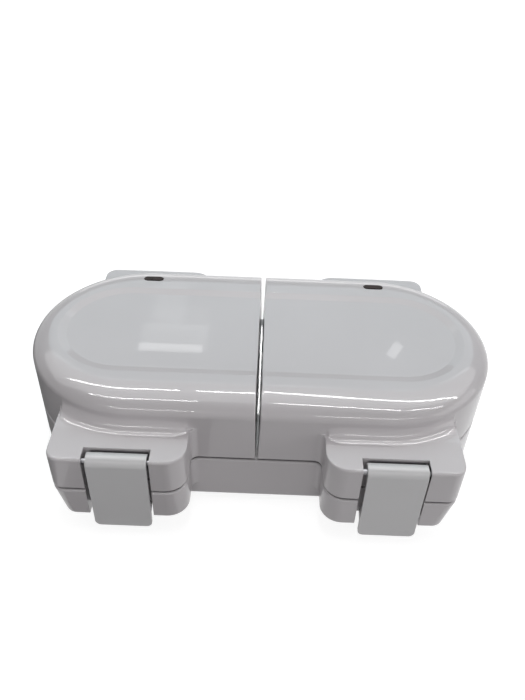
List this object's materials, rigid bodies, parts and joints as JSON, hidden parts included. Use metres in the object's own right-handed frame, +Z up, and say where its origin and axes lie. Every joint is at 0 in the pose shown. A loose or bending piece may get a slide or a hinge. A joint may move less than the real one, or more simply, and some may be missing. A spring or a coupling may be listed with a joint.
{
  "type": "double sandwich maker",
  "caption": "Closed sandwich maker for two sandwiches, with separate hinged lids, a shared recessed top, front handles and latch clips.",
  "frame": {"origin": "on the floor, in the middle of the closed outline, under the feet", "axes": "+Z up, +X to the right along the length, +Y from the front handles to the rear hinges"},
  "size_m": [0.37, 0.2424, 0.1034],
  "materials": {
    "housing": "gloss",
    "clip": "satin",
    "coated_plate": "satin black non-stick coating",
    "tray_sheet": "bright",
    "heater_sheath": "oxidised",
    "plated_steel": "bright",
    "foot_rubber": "matte",
    "gland_plastic": "matte",
    "dark_moulding": "satin",
    "terminal_plastic": "satin",
    "window_plastic": "gloss",
    "lamp_glass": "gloss"
  },
  "bodies": {
    "base": {"base_shell": "housing", "left_hinge_pin": "plated_steel", "right_hinge_pin": "plated_steel", "left_lower_plate": "coated_plate", "right_lower_plate": "coated_plate", "left_lower_element": "heater_sheath", "right_lower_element": "heater_sheath", "left_lower_tray": "tray_sheet", "right_lower_tray": "tray_sheet", "left_base_screw_1": "plated_steel", "left_base_screw_2": "plated_steel", "right_base_screw_1": "plated_steel", "right_base_screw_2": "plated_steel", "left_thermostat": "dark_moulding", "right_thermostat": "dark_moulding", "terminal_block": "terminal_plastic", "thermal_fuse": "plated_steel", "left_front_foot": "foot_rubber", "right_front_foot": "foot_rubber", "left_rear_foot": "foot_rubber", "right_rear_foot": "foot_rubber", "cord_gland": "gland_plastic"},
    "left_lid": {"left_lid_shell": "housing", "left_upper_plate": "coated_plate", "left_upper_element": "heater_sheath", "left_upper_tray": "tray_sheet", "left_lid_screw_1": "plated_steel", "left_lid_screw_2": "plated_steel", "left_indicator_window": "window_plastic", "left_indicator_lamp": "lamp_glass", "left_latch_pin": "plated_steel"},
    "right_lid": {"right_lid_shell": "housing", "right_upper_plate": "coated_plate", "right_upper_element": "heater_sheath", "right_upper_tray": "tray_sheet", "right_lid_screw_1": "plated_steel", "right_lid_screw_2": "plated_steel", "right_indicator_window": "window_plastic", "right_indicator_lamp": "lamp_glass", "right_latch_pin": "plated_steel"},
    "left_latch": {"left_latch_clip": "clip"},
    "right_latch": {"right_latch_clip": "clip"}
  },
  "joints": [
    {"name": "left_lid_hinge", "type": "hinge", "parent": "base", "child": "left_lid", "pos_m": [-0.0994, 0.1112, 0.051], "axis": [-1, 0, 0], "range_deg": [0, 100]},
    {"name": "right_lid_hinge", "type": "hinge", "parent": "base", "child": "right_lid", "pos_m": [0.0994, 0.1112, 0.051], "axis": [-1, 0, 0], "range_deg": [0, 100]},
    {"name": "left_latch_pivot", "type": "hinge", "parent": "left_lid", "child": "left_latch", "pos_m": [-0.0994, -0.1147, 0.0746], "axis": [-1, 0, 0], "range_deg": [0, 100]},
    {"name": "right_latch_pivot", "type": "hinge", "parent": "right_lid", "child": "right_latch", "pos_m": [0.0994, -0.1147, 0.0746], "axis": [-1, 0, 0], "range_deg": [0, 100]}
  ]
}
